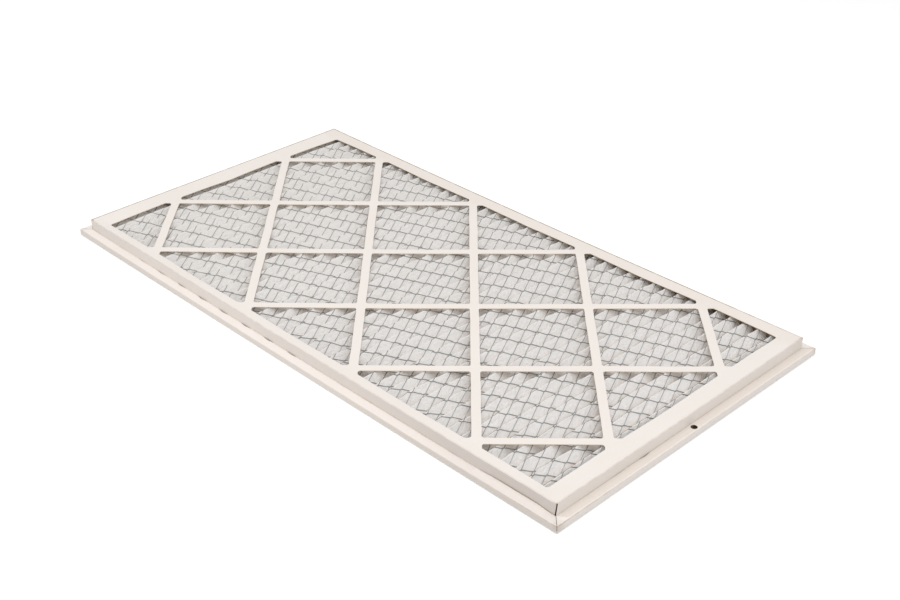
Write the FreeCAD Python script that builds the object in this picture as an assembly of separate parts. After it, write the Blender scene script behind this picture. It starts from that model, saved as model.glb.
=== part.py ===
import FreeCAD, Part

import math
import os

os.makedirs("parts", exist_ok=True)

# Flanged grille filter of folded paperboard. Millimetres. It lies on its back panel with the
# lattice face up: X along the long side, Y across, Z up, origin under the centre of the back panel.

# Frame
flange_length = 749.3  # over the lips, along X
flange_width = 393.7  # over the lips, along Y
ledge_width = 10.2  # from the lip to the wall of the raised box
rim_height = 7.0  # underside to the top of the flange
frame_height = 20.5  # underside to the lattice face
board = 0.8  # thickness of the paperboard
fold_radius = 0.8  # outside of a folded edge
corner_slit = 1.0  # open slit between two walls of the raised box
flange_seam = 0.4  # mitre seam between two flange flaps, and the slit between two lips
flap_gap = 0.4  # free edge of a flange flap to the box wall
hole_diameter = 6.6  # punched through the short flange and the back panel

# Lattice, the same in the face and in the back panel
lattice_pitch = 168.3  # from strip crossing to strip crossing, along X and along Y
strip_width = 9.3
end_border = 22.6  # solid board along a short side
side_border = 13.5  # solid board along a long side
opening_radius = 3.0  # rounded corners of the openings
smallest_straight = 3.0  # a cell that the border leaves with less than this stays solid
chord_turn = math.radians(45)  # the small corner arcs are drawn as chords of this turn

# Pleated sheet
pleat_pitch = 16.74
media_thickness = 0.6
shortest_tab = 2.0  # flat end tab that is glued to the back panel
media_clearance = 0.5  # edge of the sheet to the walls
face_clearance = 0.3  # tips of the net to the underside of the face

# Wire net
mesh_long_way = 26.6  # diamond measured along the pleats
mesh_short_way = 16.0  # diamond measured on the flat sheet, across the pleats
strand_width = 0.8
strand_height = 0.3
strand_step = 2  # every second strand of each direction
net_margin = 5.0  # edge of the net to the edge of the sheet
shortest_strand = 5.0  # corner cuttings shorter than this fall away
shortest_end = 0.05  # a strand's end this close to a fold line ends on it

# Sizes that follow from the ones above
box_length = flange_length - 2 * ledge_width
box_width = flange_width - 2 * ledge_width
inner_length = box_length - 2 * board
inner_width = box_width - 2 * board
under_face = frame_height - board
sheet_length = inner_length - 2 * media_clearance
sheet_width = inner_width - 2 * media_clearance
pleat_count = int((sheet_length - 2 * shortest_tab) // pleat_pitch)
pack_length = pleat_count * pleat_pitch
half_pitch = pleat_pitch / 2

# The sheet and both strand layers keep their thickness square to the slope, so the rise of a
# pleat is the root of a quadratic: rise + layers / cos(slope) = room under the face.
pack_room = under_face - board - face_clearance
layers = media_thickness + 2 * strand_height
layer_ratio = layers / half_pitch
root = pack_room ** 2 - (1 - layer_ratio ** 2) * (pack_room ** 2 - layers ** 2)
pleat_rise = (pack_room - math.sqrt(root)) / (1 - layer_ratio ** 2)
slope_cosine = half_pitch / math.hypot(half_pitch, pleat_rise)
media_upright = media_thickness / slope_cosine
strand_upright = strand_height / slope_cosine


def vector(x, y, z):
    return FreeCAD.Vector(x, y, z)


def centred_box(length, width, low, high):
    return Part.makeBox(length, width, high - low, vector(-length / 2, -width / 2, low))


def level_edges(solid, height):
    # edges that lie in the plane at this height
    found = []
    for edge in solid.Edges:
        box = edge.BoundBox
        if abs(box.ZMin - height) < 1e-6 and abs(box.ZMax - height) < 1e-6:
            found.append(edge)
    return found


def four_corners(length, width):
    return [(x * length / 2, y * width / 2) for x in (-1, 1) for y in (-1, 1)]


# Lattice openings

def flat_face(points):
    return Part.Face(Part.makePolygon(points + points[:1]))


def grown_outline(points, radius):
    # a convex outline, counter-clockwise, moved out by the radius with its corners rounded
    grown = []
    for before, here, after in zip(points[-1:] + points[:-1], points, points[1:] + points[:1]):
        arriving = here - before
        leaving = after - here
        turn = arriving.getAngle(leaving)
        first = math.atan2(arriving.y, arriving.x) - math.pi / 2
        chords = max(1, round(turn / chord_turn))
        for n in range(chords + 1):
            angle = first + turn * n / chords
            grown.append(here + vector(radius * math.cos(angle), radius * math.sin(angle), 0))
    return grown


def cell_outline(x, y, reach, half_x, half_y):
    # the diamond round (x, y), clipped by the border
    tips = [vector(x + reach, y, 0), vector(x, y + reach, 0)]
    tips += [vector(x - reach, y, 0), vector(x, y - reach, 0)]
    field = [vector(half_x, half_y, 0), vector(-half_x, half_y, 0)]
    field += [vector(-half_x, -half_y, 0), vector(half_x, -half_y, 0)]
    clipped = flat_face(tips).common(flat_face(field))
    points = [vertex.Point for vertex in clipped.Faces[0].OuterWire.OrderedVertexes]
    around = sum((a.cross(b).z for a, b in zip(points, points[1:] + points[:1])))
    return points if around > 0 else points[::-1]


def lattice_openings(low, high):
    # each opening is drawn smaller by its corner radius, and grown back with round corners
    reach = lattice_pitch / 2 - strip_width / math.sqrt(2) - opening_radius * math.sqrt(2)
    half_x = box_length / 2 - end_border - opening_radius
    half_y = box_width / 2 - side_border - opening_radius
    cells = math.ceil((half_x + half_y) / lattice_pitch) + 1
    openings = []
    for i in range(-cells, cells + 1):
        for j in range(-cells, cells + 1):
            x = (i + j) * lattice_pitch / 2
            y = (i - j) * lattice_pitch / 2
            outside = max(0, abs(x) - half_x) + max(0, abs(y) - half_y)
            if reach - outside < smallest_straight:
                continue
            outline = grown_outline(cell_outline(x, y, reach, half_x, half_y), opening_radius)
            opening = flat_face(outline).extrude(vector(0, 0, high - low))
            opening.translate(vector(0, 0, low))
            openings.append(opening)
    return openings


# Upper tray: lattice face and four walls, one folded blank

def make_face_tray():
    outside = centred_box(box_length, box_width, board, frame_height)
    outside = outside.makeFillet(fold_radius, level_edges(outside, frame_height))
    tray = outside.cut(centred_box(inner_length, inner_width, board, under_face))
    tray = tray.cut(lattice_openings(under_face, frame_height))
    slits = []
    for x, y in four_corners(inner_length - corner_slit, inner_width + board):
        low_corner = vector(x - corner_slit / 2, y - board / 2, board)
        slits.append(Part.makeBox(corner_slit, board, under_face - board, low_corner))
    return tray.cut(slits)


# Lower tray: back panel, lips and inward flange flaps, one folded blank

def mitre_seams():
    # thin upright cuts on the diagonals, through the lips and the flaps but not the back panel
    seams = []
    half_run = 2 * (ledge_width + board)
    for x, y in four_corners(flange_length, flange_width):
        seam = Part.makeBox(2 * half_run, flange_seam, rim_height - 2 * board)
        seam.translate(vector(-half_run, -flange_seam / 2, 2 * board))
        seam.rotate(vector(0, 0, 0), vector(0, 0, 1), 45 if x * y > 0 else -45)
        seam.translate(vector(x, y, 0))
        seams.append(seam)
    return seams


def make_flange_tray():
    outside = centred_box(flange_length, flange_width, 0, rim_height)
    folds = level_edges(outside, 0) + level_edges(outside, rim_height)
    outside = outside.makeFillet(fold_radius, folds)
    lip_length = flange_length - 2 * board
    lip_width = flange_width - 2 * board
    hollow = centred_box(lip_length, lip_width, board, rim_height - board)
    mouth_length = box_length + 2 * flap_gap
    mouth_width = box_width + 2 * flap_gap
    mouth = centred_box(mouth_length, mouth_width, board, rim_height)
    hole_x = (flange_length + box_length) / 4
    hole = Part.makeCylinder(hole_diameter / 2, rim_height, vector(hole_x, 0, 0))
    return outside.cut([hollow, mouth, hole] + mitre_seams() + lattice_openings(0, board))


# Pleated sheet

def fold_lines():
    # valleys and ridges by turns, from the first valley to the last
    return [-pack_length / 2 + n * half_pitch for n in range(2 * pleat_count + 1)]


def pleat_level(x):
    # height of the underside of the sheet
    along = (x + pack_length / 2) % pleat_pitch
    return board + pleat_rise * (1 - abs(along / half_pitch - 1))


def make_pleated_media():
    under = [(x, board + pleat_rise * (n % 2)) for n, x in enumerate(fold_lines())]
    over = [(x, z + media_upright) for x, z in under[1:-1]]
    tab_end = sheet_length / 2
    tab_top = board + media_thickness
    tab_start = pack_length / 2 + (media_upright - media_thickness) * half_pitch / pleat_rise
    outline = [(-tab_end, board)] + under + [(tab_end, board)]
    outline += [(tab_end, tab_top), (tab_start, tab_top)]
    outline += over[::-1] + [(-tab_start, tab_top), (-tab_end, tab_top)]
    section = flat_face([vector(x, -sheet_width / 2, z) for x, z in outline])
    return section.extrude(vector(0, sheet_width, 0))


# Wire net: straight three-sided strands in two directions, one laid over the other

def strand_run(offset, slope):
    # plan points of one strand: its two ends and every fold line that it crosses
    limit_x = pack_length / 2
    limit_y = sheet_width / 2 - net_margin
    ends = sorted([(-limit_y - offset) / slope, (limit_y - offset) / slope])
    start = max(ends[0], -limit_x)
    stop = min(ends[1], limit_x)
    if stop - start < shortest_strand:
        return []
    crossed = [x for x in fold_lines() if start <= x <= stop]
    first = [start] if not crossed or crossed[0] - start > shortest_end else []
    last = [stop] if not crossed or stop - crossed[-1] > shortest_end else []
    return [(x, offset + slope * x) for x in first + crossed + last]


def strand_solid(run, base):
    # its section is a triangle: flat on what carries it, with the ridge up
    half = strand_width / 2 * math.hypot(1, mesh_long_way / mesh_short_way)
    sections = []
    for x, y in run:
        level = pleat_level(x) + base
        foot = [vector(x, y - half, level), vector(x, y + half, level)]
        sections.append(foot + [vector(x, y, level + strand_upright)])
    faces = [flat_face(sections[0]), flat_face(sections[-1])]
    for here, there in zip(sections, sections[1:]):
        for k in range(3):
            n = (k + 1) % 3
            faces.append(flat_face([here[k], here[n], there[n], there[k]]))
    solid = Part.Solid(Part.Shell(faces))
    if solid.Volume < 0:
        solid.reverse()
    return solid


def make_wire_net():
    plan_slope = mesh_long_way / mesh_short_way / slope_cosine
    spacing = mesh_long_way * strand_step
    count = int((sheet_width + plan_slope * pack_length) / 2 // spacing) + 1
    strands = []
    for layer, slope in enumerate((-plan_slope, plan_slope)):
        base = media_upright + layer * strand_upright
        for n in range(-count, count + 1):
            run = strand_run(n * spacing, slope)
            if run:
                strands.append(strand_solid(run, base))
    return Part.makeCompound(strands)


make_face_tray().exportStep("parts/face_tray.step")
make_flange_tray().exportStep("parts/flange_tray.step")
make_pleated_media().exportStep("parts/pleated_media.step")
make_wire_net().exportStep("parts/wire_net.step")
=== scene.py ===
import math
import random

import bmesh
import bpy
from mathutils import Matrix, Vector, noise
from mathutils.geometry import delaunay_2d_cdt


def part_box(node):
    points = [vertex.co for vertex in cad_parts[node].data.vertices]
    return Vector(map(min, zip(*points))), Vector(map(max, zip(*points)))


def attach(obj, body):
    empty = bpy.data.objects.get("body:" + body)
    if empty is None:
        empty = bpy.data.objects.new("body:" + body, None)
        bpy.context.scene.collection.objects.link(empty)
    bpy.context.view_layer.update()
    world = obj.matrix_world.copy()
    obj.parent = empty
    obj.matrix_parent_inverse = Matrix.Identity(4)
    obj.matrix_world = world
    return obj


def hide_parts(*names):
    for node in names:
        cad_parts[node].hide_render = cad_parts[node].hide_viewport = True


# Flanged grille filter of folded paperboard, lying on its back panel. Metres, same frame as the solids.

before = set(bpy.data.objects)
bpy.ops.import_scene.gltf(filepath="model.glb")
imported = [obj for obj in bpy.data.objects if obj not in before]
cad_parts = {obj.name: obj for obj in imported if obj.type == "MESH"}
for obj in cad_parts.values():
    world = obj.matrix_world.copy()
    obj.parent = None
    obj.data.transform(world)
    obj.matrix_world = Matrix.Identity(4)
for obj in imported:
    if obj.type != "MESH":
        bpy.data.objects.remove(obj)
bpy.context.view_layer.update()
print("frame loaded:", ", ".join(sorted(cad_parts)))

faceLow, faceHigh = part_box("face_tray")
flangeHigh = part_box("flange_tray")[1]
mediaLow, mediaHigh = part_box("pleated_media")


# Small helpers for nodes

def addNode(tree, kind, **settings):
    node = tree.nodes.new(kind)
    for name, value in settings.items():
        setattr(node, name, value)
    return node


def setInputs(node, **values):
    for name, value in values.items():
        node.inputs[name.replace("_", " ")].default_value = value
    return node


def plugIn(tree, value, socket):
    # a link where the value comes out of another node, and else the value itself
    if isinstance(value, bpy.types.NodeSocket):
        tree.links.new(value, socket)
    else:
        socket.default_value = value


numberSocket, vectorSocket, colourSocket = "NodeSocketFloat", "NodeSocketVector", "NodeSocketColor"


def newGroup(name, inputs, outputs):
    group = bpy.data.node_groups.new(name, "ShaderNodeTree")
    for label, kind, value in inputs:
        socket = group.interface.new_socket(label, in_out="INPUT", socket_type=kind)
        socket.default_value = value
    for label, kind in outputs:
        group.interface.new_socket(label, in_out="OUTPUT", socket_type=kind)
    return group, group.nodes.new("NodeGroupInput"), group.nodes.new("NodeGroupOutput")


def useGroup(tree, group, **values):
    node = tree.nodes.new("ShaderNodeGroup")
    node.node_tree = group
    return setInputs(node, **values)


def mathNode(tree, operation, first, second, clamp=False):
    node = addNode(tree, "ShaderNodeMath", operation=operation, use_clamp=clamp)
    plugIn(tree, first, node.inputs[0])
    plugIn(tree, second, node.inputs[1])
    return node.outputs[0]


def mixColors(tree, factor, first, second):
    node = addNode(tree, "ShaderNodeMix", data_type="RGBA")
    plugIn(tree, factor, node.inputs[0])
    plugIn(tree, first, node.inputs[6])
    plugIn(tree, second, node.inputs[7])
    return node.outputs[2]


def pointMask(tree, name):
    # a value that the mesh carries at each point
    return addNode(tree, "ShaderNodeAttribute", attribute_name=name).outputs["Fac"]


def objectCoords(tree):
    return addNode(tree, "ShaderNodeTexCoord").outputs["Object"]


def noiseNode(tree, vector, scale, **values):
    node = setInputs(addNode(tree, "ShaderNodeTexNoise"), **values)
    tree.links.new(vector, node.inputs["Vector"])
    tree.links.new(scale, node.inputs["Scale"])
    return node.outputs[0]


def mapRange(tree, value, **limits):
    node = setInputs(addNode(tree, "ShaderNodeMapRange"), **limits)
    tree.links.new(value, node.inputs["Value"])
    return node.outputs[0]


def mixShaders(tree, factor, first, second):
    node = addNode(tree, "ShaderNodeMixShader")
    for socket, value in zip(node.inputs, (factor, first, second)):
        tree.links.new(value, socket)
    return node.outputs[0]


# Shared shader groups: grain of paper and nonwoven, slow drift of colour, worn folds and painted shade

def makeFibreGroup():
    # fine fibres lying every way: Height for bump, Fleck as a mask
    group, start, end = newGroup(
        "fibre grain",
        [("Scale", numberSocket, 900.0), ("Stretch", vectorSocket, (1.0, 1.0, 1.0))],
        [("Height", numberSocket), ("Fleck", numberSocket)])
    stretch = addNode(group, "ShaderNodeVectorMath", operation="MULTIPLY")
    group.links.new(objectCoords(group), stretch.inputs[0])
    group.links.new(start.outputs["Stretch"], stretch.inputs[1])
    scale, vector = start.outputs["Scale"], stretch.outputs[0]
    larger = mathNode(group, "MULTIPLY", scale, 0.22)
    fine = noiseNode(group, vector, scale, Detail=4.0, Roughness=0.7, Distortion=1.5)
    coarse = noiseNode(group, vector, larger, Detail=2.0, Roughness=0.5)
    soft = mathNode(group, "MULTIPLY", coarse, 0.6)
    group.links.new(mathNode(group, "ADD", fine, soft), end.inputs["Height"])
    group.links.new(mapRange(group, fine, From_Min=0.56, From_Max=0.74), end.inputs["Fleck"])
    return group


def makeDriftGroup():
    # slow change of one colour towards another over the surface
    group, start, end = newGroup(
        "colour drift",
        [("Color", colourSocket, (0.8, 0.8, 0.8, 1)), ("Other Color", colourSocket, (0.7, 0.7, 0.7, 1)),
         ("Scale", numberSocket, 12.0), ("Amount", numberSocket, 0.5)],
        [("Color", colourSocket)])
    cloud = noiseNode(group, objectCoords(group), start.outputs["Scale"], Detail=3.0, Roughness=0.55)
    spread = mapRange(group, cloud, From_Min=0.35, From_Max=0.68)
    mask = mathNode(group, "MULTIPLY", spread, start.outputs["Amount"], clamp=True)
    mixed = mixColors(group, mask, start.outputs["Color"], start.outputs["Other Color"])
    group.links.new(mixed, end.inputs["Color"])
    return group


def makeWearGroup():
    # used for wear and for painted shade
    # colour that shows where a mask says so, broken up by a fine noise
    group, start, end = newGroup(
        "worn place",
        [("Color", colourSocket, (0.8, 0.8, 0.8, 1)), ("Worn Color", colourSocket, (0.5, 0.4, 0.3, 1)),
         ("Place", numberSocket, 0.0), ("Breakup Scale", numberSocket, 90.0), ("Amount", numberSocket, 0.6)],
        [("Color", colourSocket)])
    scale = start.outputs["Breakup Scale"]
    patches = noiseNode(group, objectCoords(group), scale, Detail=5.0, Roughness=0.65)
    spread = mapRange(group, patches, From_Min=0.34, From_Max=0.62, To_Min=0.35)
    placed = mathNode(group, "MULTIPLY", start.outputs["Place"], spread)
    mask = mathNode(group, "MULTIPLY", placed, start.outputs["Amount"], clamp=True)
    mixed = mixColors(group, mask, start.outputs["Color"], start.outputs["Worn Color"])
    group.links.new(mixed, end.inputs["Color"])
    return group


fibreGrain = makeFibreGroup()
colourDrift = makeDriftGroup()
wornPlace = makeWearGroup()
print("shader groups ready")


# Materials

def newMaterial(name, roughness, specular, metallic=0.0):
    material = bpy.data.materials.new(name)
    material.use_nodes = True
    tree = material.node_tree
    shader = tree.nodes["Principled BSDF"]
    shader.inputs["Roughness"].default_value = roughness
    shader.inputs["Specular IOR Level"].default_value = specular
    shader.inputs["Metallic"].default_value = metallic
    return material, tree, shader


def bumpInto(tree, shader, height, strength, distance):
    bump = setInputs(addNode(tree, "ShaderNodeBump"), Strength=strength, Distance=distance)
    tree.links.new(height, bump.inputs["Height"])
    tree.links.new(bump.outputs[0], shader.inputs["Normal"])


boardLook = {
    "coat": (0.915, 0.852, 0.80, 1),  # white clay coat, a little pink
    "coatShade": (0.875, 0.81, 0.75, 1),
    "lowerCoat": (0.935, 0.87, 0.825, 1),  # the lower blank is a little whiter
    "lowerShade": (0.9, 0.83, 0.78, 1),
    "foldColour": (0.4, 0.29, 0.18, 1),  # coat cracked over a fold, and painted shade along the far folds and the long lip's foot
    "agedColour": (0.80, 0.73, 0.66, 1),  # beige: painted shade on the +Y border and the long lips, and the short flap's darker tone
    "dullColour": (0.72, 0.665, 0.62, 1),  # painted shade, grey, towards the open corner
    "kraft": (0.56, 0.41, 0.265, 1),  # uncoated back of the board
    "kraftShade": (0.45, 0.325, 0.205, 1),
    "cutColour": (0.81, 0.7, 0.56, 1),  # die-cut edge
    "cutShade": (0.64, 0.52, 0.39, 1),
    "slitColour": (0.055, 0.042, 0.026, 1),  # painted shade, nearly black: cut ends in a corner slit, on a mitre seam and round the hole
}


def makeCoatedBoard(name, coat, shade):
    material, tree, shader = newMaterial(name, roughness=0.6, specular=0.3)
    drift = useGroup(tree, colourDrift, Color=coat, Other_Color=shade, Scale=14.0, Amount=0.4)
    # painted shade in beige on the +Y border and the long lips, and a darker beige on the short flap
    base = mixColors(tree, pointMask(tree, "agedBoard"), drift.outputs["Color"], boardLook["agedColour"])
    # painted shade: greyer where the mask says so
    base = mixColors(tree, pointMask(tree, "dullBoard"), base, boardLook["dullColour"])
    worn = useGroup(tree, wornPlace, Worn_Color=boardLook["foldColour"], Breakup_Scale=110.0, Amount=0.6)
    tree.links.new(base, worn.inputs["Color"])
    tree.links.new(pointMask(tree, "foldWear"), worn.inputs["Place"])
    tree.links.new(worn.outputs["Color"], shader.inputs["Base Color"])
    grain = useGroup(tree, fibreGrain, Scale=700.0)
    rougher = mathNode(tree, "MULTIPLY", grain.outputs["Fleck"], 0.12)
    tree.links.new(mathNode(tree, "ADD", rougher, 0.55), shader.inputs["Roughness"])
    bumpInto(tree, shader, grain.outputs["Height"], strength=0.12, distance=0.0002)
    return material


def makeCutEdge():
    material, tree, shader = newMaterial("cut board edge", roughness=0.85, specular=0.2)
    plies = useGroup(tree, fibreGrain, Scale=500.0, Stretch=(1.0, 1.0, 6.0))
    colour = mixColors(tree, plies.outputs["Fleck"], boardLook["cutColour"], boardLook["cutShade"])
    # painted shade, nearly black, in the slits, the mitre seams and the hole
    colour = mixColors(tree, pointMask(tree, "slitShade"), colour, boardLook["slitColour"])
    tree.links.new(colour, shader.inputs["Base Color"])
    bumpInto(tree, shader, plies.outputs["Height"], strength=0.3, distance=0.0002)
    return material


def makeBoardBack():
    material, tree, shader = newMaterial("uncoated board back", roughness=0.88, specular=0.2)
    drift = useGroup(tree, colourDrift, Color=boardLook["kraft"], Other_Color=boardLook["kraftShade"],
                     Scale=40.0, Amount=0.8)
    grain = useGroup(tree, fibreGrain, Scale=900.0)
    tree.links.new(drift.outputs["Color"], shader.inputs["Base Color"])
    bumpInto(tree, shader, grain.outputs["Height"], strength=0.25, distance=0.0003)
    return material


mediaLook = {
    "fibre": (0.985, 0.965, 0.955, 1),
    "fibreShade": (0.94, 0.915, 0.893, 1),
    "dusty": (0.88, 0.855, 0.83, 1),  # painted shade: darker towards -X and on the ridges
    "deep": (0.7, 0.56, 0.44, 1),  # painted shade, brownish, in the folds' bottoms
    "facets": ((170.0, 1.2), (410.0, 0.5)),  # wrinkles: how many to the metre, and how strong
}


def makeNonwoven():
    material, tree, shader = newMaterial("pleated nonwoven", roughness=0.95, specular=0.15)
    drift = useGroup(tree, colourDrift, Color=mediaLook["fibre"], Other_Color=mediaLook["fibreShade"],
                     Scale=240.0, Amount=0.75)
    # painted shade, brownish, in the folds' bottoms
    deep = useGroup(tree, wornPlace, Worn_Color=mediaLook["deep"], Breakup_Scale=60.0, Amount=0.5)
    # painted shade on the sheet where the mask says so
    base = mixColors(tree, pointMask(tree, "dust"), drift.outputs["Color"], mediaLook["dusty"])
    tree.links.new(base, deep.inputs["Color"])
    tree.links.new(pointMask(tree, "foldDepth"), deep.inputs["Place"])
    tree.links.new(deep.outputs["Color"], shader.inputs["Base Color"])
    grain = useGroup(tree, fibreGrain, Scale=1100.0)
    coords = objectCoords(tree)
    height = mathNode(tree, "MULTIPLY", grain.outputs["Height"], 0.2)
    for scale, share in mediaLook["facets"]:
        facets = setInputs(addNode(tree, "ShaderNodeTexVoronoi", feature="DISTANCE_TO_EDGE"), Scale=scale)
        tree.links.new(coords, facets.inputs["Vector"])
        wrinkle = mathNode(tree, "MULTIPLY", facets.outputs["Distance"], share)
        height = mathNode(tree, "ADD", height, wrinkle)
    bumpInto(tree, shader, height, strength=0.6, distance=0.0013)
    return material


wireLook = {
    "wire": (0.3, 0.305, 0.3, 1),
    "wireShade": (0.41, 0.405, 0.39, 1),
    "bond": (0.13, 0.13, 0.125, 1),  # darker where two strands are joined
    "bondShare": 0.4,
    "dusty": (0.55, 0.54, 0.52, 1),  # towards -X
}


def makeNetWire():
    material, tree, shader = newMaterial("dull net wire", roughness=0.5, specular=0.4, metallic=0.3)
    drift = useGroup(tree, colourDrift, Color=wireLook["wire"], Other_Color=wireLook["wireShade"],
                     Scale=90.0, Amount=0.8)
    grain = useGroup(tree, fibreGrain, Scale=1400.0)
    bonded = mathNode(tree, "MULTIPLY", pointMask(tree, "bond"), wireLook["bondShare"])
    colour = mixColors(tree, bonded, drift.outputs["Color"], wireLook["bond"])
    colour = mixColors(tree, pointMask(tree, "dust"), colour, wireLook["dusty"])
    tree.links.new(colour, shader.inputs["Base Color"])
    bumpInto(tree, shader, grain.outputs["Height"], strength=0.2, distance=0.0001)
    return material


upperBoard = makeCoatedBoard("coated board", boardLook["coat"], boardLook["coatShade"])
lowerBoard = makeCoatedBoard("coated lower board", boardLook["lowerCoat"], boardLook["lowerShade"])
cutEdge = makeCutEdge()
boardBack = makeBoardBack()
nonwoven = makeNonwoven()
netWire = makeNetWire()
print("materials ready")


# Mesh helpers

def newObject(name, data):
    item = bpy.data.objects.new(name, data)
    bpy.context.scene.collection.objects.link(item)
    return item


def pieceFrom(mesh, name, node, materials):
    piece = newObject(name, mesh)
    for k, material in enumerate(materials):  # a board's mesh comes with three empty places
        if k < len(mesh.materials):
            mesh.materials[k] = material
        else:
            mesh.materials.append(material)
    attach(piece, "root")
    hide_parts(node)
    return piece


def pointValues(mesh, **functions):
    # values that the materials read at each point, from functions of its place
    for name, valueAt in functions.items():
        attribute = mesh.attributes.new(name, "FLOAT", "POINT")
        attribute.data.foreach_set("value", [valueAt(vertex.co) for vertex in mesh.vertices])


def meshFrom(bm, name):
    mesh = bpy.data.meshes.new(name)
    bm.to_mesh(mesh)
    bm.free()
    return mesh


def smoothStep(low, high, value):
    share = min(1.0, max(0.0, (value - low) / (high - low)))
    return share * share * (3 - 2 * share)


def stepsAlong(steps, value):
    # each step adds its share between its start and its end
    return sum(share * smoothStep(start, end, value) for share, start, end in steps)


def softNoise(x, y, scale, layer):
    return noise.noise(Vector((x * scale, y * scale, layer)))


enlarged = 1000  # the triangulation works on millimetres, where its tolerance is fine enough


def triangulated(outline, holes, spacing, clear):
    # flat triangles of an outline with holes, with inner points on a grid where clear(x, y) allows
    points, loops = [], []
    for loop in [outline] + holes:
        loops.append(list(range(len(points), len(points) + len(loop))))
        points += loop
    xs, ys = [p[0] for p in outline], [p[1] for p in outline]
    rows = int((max(ys) - min(ys)) / spacing)
    for j in range(1, rows):
        y = min(ys) + (max(ys) - min(ys)) * j / rows
        x = min(xs) + spacing * (0.5 + 0.5 * (j % 2))
        while x < max(xs) - spacing / 2:
            if clear(x, y):
                points.append((x, y))
            x += spacing
    big = [Vector((x * enlarged, y * enlarged)) for x, y in points]
    result = delaunay_2d_cdt(big, [], loops, 0, 1e-4)
    verts, faces, origins = result[0], result[2], result[5]
    kept = [face for face, origin in zip(faces, origins) if list(origin) == [0]]  # in no hole
    return [(v.x / enlarged, v.y / enlarged) for v in verts], kept


def addFlat(bm, outline, holes, height, spacing=1.0, clear=lambda x, y: False):
    flat, faces = triangulated(outline, holes, spacing, clear)
    verts = [bm.verts.new((x, y, height)) for x, y in flat]
    for face in faces:
        bm.faces.new([verts[k] for k in face])


def addGrid(bm, rows):
    # rows of points with the same count, joined by quads
    grid = [[bm.verts.new(p) for p in row] for row in rows]
    for here, there in zip(grid, grid[1:]):
        for k in range(len(here) - 1):
            bm.faces.new((here[k], here[k + 1], there[k + 1], there[k]))


hair = 1e-5  # tolerance for a point that lies on a plane

foldedBoard = {
    "thickness": 0.0008,
    "fold": 0.0008,  # outside of a folded edge
    "bend": [math.radians(a) for a in (0, 22, 45, 68, 90)],  # stations round a fold
    "station": 0.006,  # spacing of points along an edge
    "weld": 1e-5,
    "sliver": 2e-6,  # thinner faces fall away
    "sharpAngle": math.radians(32),
    "cornerReach": (0.007, 0.001),  # the wear of a corner starts and is full this far from it
    "skin": 0.0005,  # what lies deeper is the inner side
    "slack": 0.0002,  # a point this close to the end of a bend isn't on it
}


def boardMesh(bm, name, panelLevel, facing):
    # one folded sheet: skin welded, turned outwards, thickened inwards and shaded by angle
    bmesh.ops.remove_doubles(bm, verts=bm.verts, dist=foldedBoard["weld"])
    loose = [v for v in bm.verts if not v.link_faces]
    bmesh.ops.delete(bm, geom=loose, context="VERTS")
    bmesh.ops.recalc_face_normals(bm, faces=bm.faces)

    def panelScore(face):
        # highest for a large face of the panel itself
        return abs(face.normal.z) * face.calc_area() - abs(face.calc_center_median().z - panelLevel)

    if max(bm.faces, key=panelScore).normal.z * facing < 0:
        bmesh.ops.reverse_faces(bm, faces=bm.faces)
    mesh = meshFrom(bm, name)
    holder = newObject(name + "_skin", mesh)
    solid = holder.modifiers.new("board", "SOLIDIFY")
    solid.thickness = foldedBoard["thickness"]
    solid.offset = -1
    solid.use_even_offset = True
    solid.material_offset = 2
    solid.material_offset_rim = 1
    for k in range(3):
        mesh.materials.append(None)
    graph = bpy.context.evaluated_depsgraph_get()
    thick = bpy.data.meshes.new_from_object(holder.evaluated_get(graph))
    bpy.data.objects.remove(holder)
    clean = bmesh.new()
    clean.from_mesh(thick)
    bmesh.ops.dissolve_degenerate(clean, edges=clean.edges, dist=foldedBoard["sliver"])
    clean.to_mesh(thick)
    clean.free()
    thick.name = name
    thick.shade_smooth()
    thick.set_sharp_from_angle(angle=foldedBoard["sharpAngle"])
    return thick


def stationsAlong(half, spacing):
    count = round(2 * half / spacing)
    return [-half + 2 * half * n / count for n in range(count + 1)]


def panelStations(halfX, halfY):
    # the points along both ways, and with them the flat panel's outline, counter-clockwise
    alongX = stationsAlong(halfX, foldedBoard["station"])
    alongY = stationsAlong(halfY, foldedBoard["station"])
    outline = [(x, -halfY) for x in alongX[:-1]] + [(halfX, y) for y in alongY[:-1]]
    outline += [(x, halfY) for x in alongX[:0:-1]] + [(-halfX, y) for y in alongY[:0:-1]]
    return alongX, alongY, outline


def cornerDistance(co, halfX, halfY):
    return math.hypot(halfX - abs(co.x), halfY - abs(co.y))


# Die-cut lattice, the same in the face and in the back panel

lattice = {
    "pitch": 0.1683,  # strip crossing to strip crossing, along X and along Y
    "strip": 0.0093,
    "endBorder": 0.0226,
    "sideBorder": 0.0135,
    "cornerRadius": 0.0025,
    "radiusSpread": 0.0006,
    "arcStep": math.radians(13),
    "smallestSide": 0.003,  # a cell that the border leaves with less stays solid
    "pointSpacing": 0.0045,
    "gridSpacing": 0.006,  # inner points of the panel
    "gridRoom": 0.002,  # and how far they stay inside a strip
}
boxHalfX, boxHalfY = faceHigh.x, faceHigh.y
fieldX = boxHalfX - lattice["endBorder"]
fieldY = boxHalfY - lattice["sideBorder"]


def clipped(points, axis, limit, side):
    # convex outline, cut off past the limit on one side of an axis
    kept = []
    for here, there in zip(points, points[1:] + points[:1]):
        a, b = side * here[axis] - limit, side * there[axis] - limit
        if a <= 0:
            kept.append(here)
        if a * b < 0:
            share = a / (a - b)
            kept.append(tuple(h + (t - h) * share for h, t in zip(here, there)))
    return kept


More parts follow.
